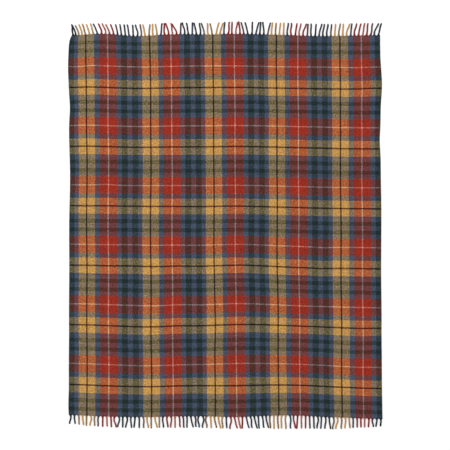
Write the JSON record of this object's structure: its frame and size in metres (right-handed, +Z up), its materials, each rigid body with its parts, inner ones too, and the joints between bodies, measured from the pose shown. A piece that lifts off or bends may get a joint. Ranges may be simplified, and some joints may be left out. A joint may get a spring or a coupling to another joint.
{
  "type": "camp blanket",
  "caption": "Oblong plaid wool camp blanket, laid flat, with selvedged sides and a fringe of twisted tassels at both ends. It folds in at each end and then in half.",
  "frame": {"origin": "centre of the blanket at the surface it lies on", "axes": "+Y along the warp towards the head end, +X across the cloth towards the right selvedge, +Z up from the surface it lies on"},
  "size_m": [1.454, 1.8887, 0.0055],
  "materials": {
    "plaid_cloth": "raised wool twill plaid, matt",
    "selvedge": "dense woven wool edge, matt",
    "yellow_yarn": "twisted wool yarn, matt",
    "blue_yarn": "twisted wool yarn, matt",
    "red_yarn": "twisted wool yarn, matt",
    "green_yarn": "twisted wool yarn, matt"
  },
  "bodies": {
    "lower_middle": {"lower_middle_cloth": "plaid_cloth", "lower_middle_left_selvedge": "selvedge", "lower_middle_right_selvedge": "selvedge"},
    "foot_panel": {"foot_fringe_01_green": "green_yarn", "foot_fringe_02_yellow": "yellow_yarn", "foot_fringe_03_blue": "blue_yarn", "foot_fringe_04_red": "red_yarn", "foot_fringe_05_green": "green_yarn", "foot_fringe_06_yellow": "yellow_yarn", "foot_fringe_07_blue": "blue_yarn", "foot_fringe_08_red": "red_yarn", "foot_fringe_09_green": "green_yarn", "foot_fringe_10_yellow": "yellow_yarn", "foot_fringe_11_blue": "blue_yarn", "foot_fringe_12_red": "red_yarn", "foot_fringe_13_green": "green_yarn", "foot_fringe_14_yellow": "yellow_yarn", "foot_fringe_15_blue": "blue_yarn", "foot_fringe_16_red": "red_yarn", "foot_fringe_17_green": "green_yarn", "foot_fringe_18_yellow": "yellow_yarn", "foot_fringe_19_blue": "blue_yarn", "foot_fringe_20_red": "red_yarn", "foot_fringe_21_green": "green_yarn", "foot_panel_cloth": "plaid_cloth", "foot_panel_left_selvedge": "selvedge", "foot_panel_right_selvedge": "selvedge"},
    "upper_middle": {"upper_middle_cloth": "plaid_cloth", "upper_middle_left_selvedge": "selvedge", "upper_middle_right_selvedge": "selvedge"},
    "head_panel": {"head_fringe_01_green": "green_yarn", "head_fringe_02_yellow": "yellow_yarn", "head_fringe_03_blue": "blue_yarn", "head_fringe_04_red": "red_yarn", "head_fringe_05_green": "green_yarn", "head_fringe_06_yellow": "yellow_yarn", "head_fringe_07_blue": "blue_yarn", "head_fringe_08_red": "red_yarn", "head_fringe_09_green": "green_yarn", "head_fringe_10_yellow": "yellow_yarn", "head_fringe_11_blue": "blue_yarn", "head_fringe_12_red": "red_yarn", "head_fringe_13_green": "green_yarn", "head_fringe_14_yellow": "yellow_yarn", "head_fringe_15_blue": "blue_yarn", "head_fringe_16_red": "red_yarn", "head_fringe_17_green": "green_yarn", "head_fringe_18_yellow": "yellow_yarn", "head_fringe_19_blue": "blue_yarn", "head_fringe_20_red": "red_yarn", "head_fringe_21_green": "green_yarn", "head_panel_cloth": "plaid_cloth", "head_panel_left_selvedge": "selvedge", "head_panel_right_selvedge": "selvedge"}
  },
  "joints": [
    {"name": "foot_fold", "type": "hinge", "parent": "lower_middle", "child": "foot_panel", "pos_m": [0, -0.474, 0.0048], "axis": [-1, 0, 0], "range_deg": [0, 179.9]},
    {"name": "head_fold", "type": "hinge", "parent": "upper_middle", "child": "head_panel", "pos_m": [0, 0.474, 0.0048], "axis": [1, 0, 0], "range_deg": [0, 179.9]},
    {"name": "middle_fold", "type": "hinge", "parent": "lower_middle", "child": "upper_middle", "pos_m": [0, 0, 0.0107], "axis": [1, 0, 0], "range_deg": [0, 179.9]}
  ]
}
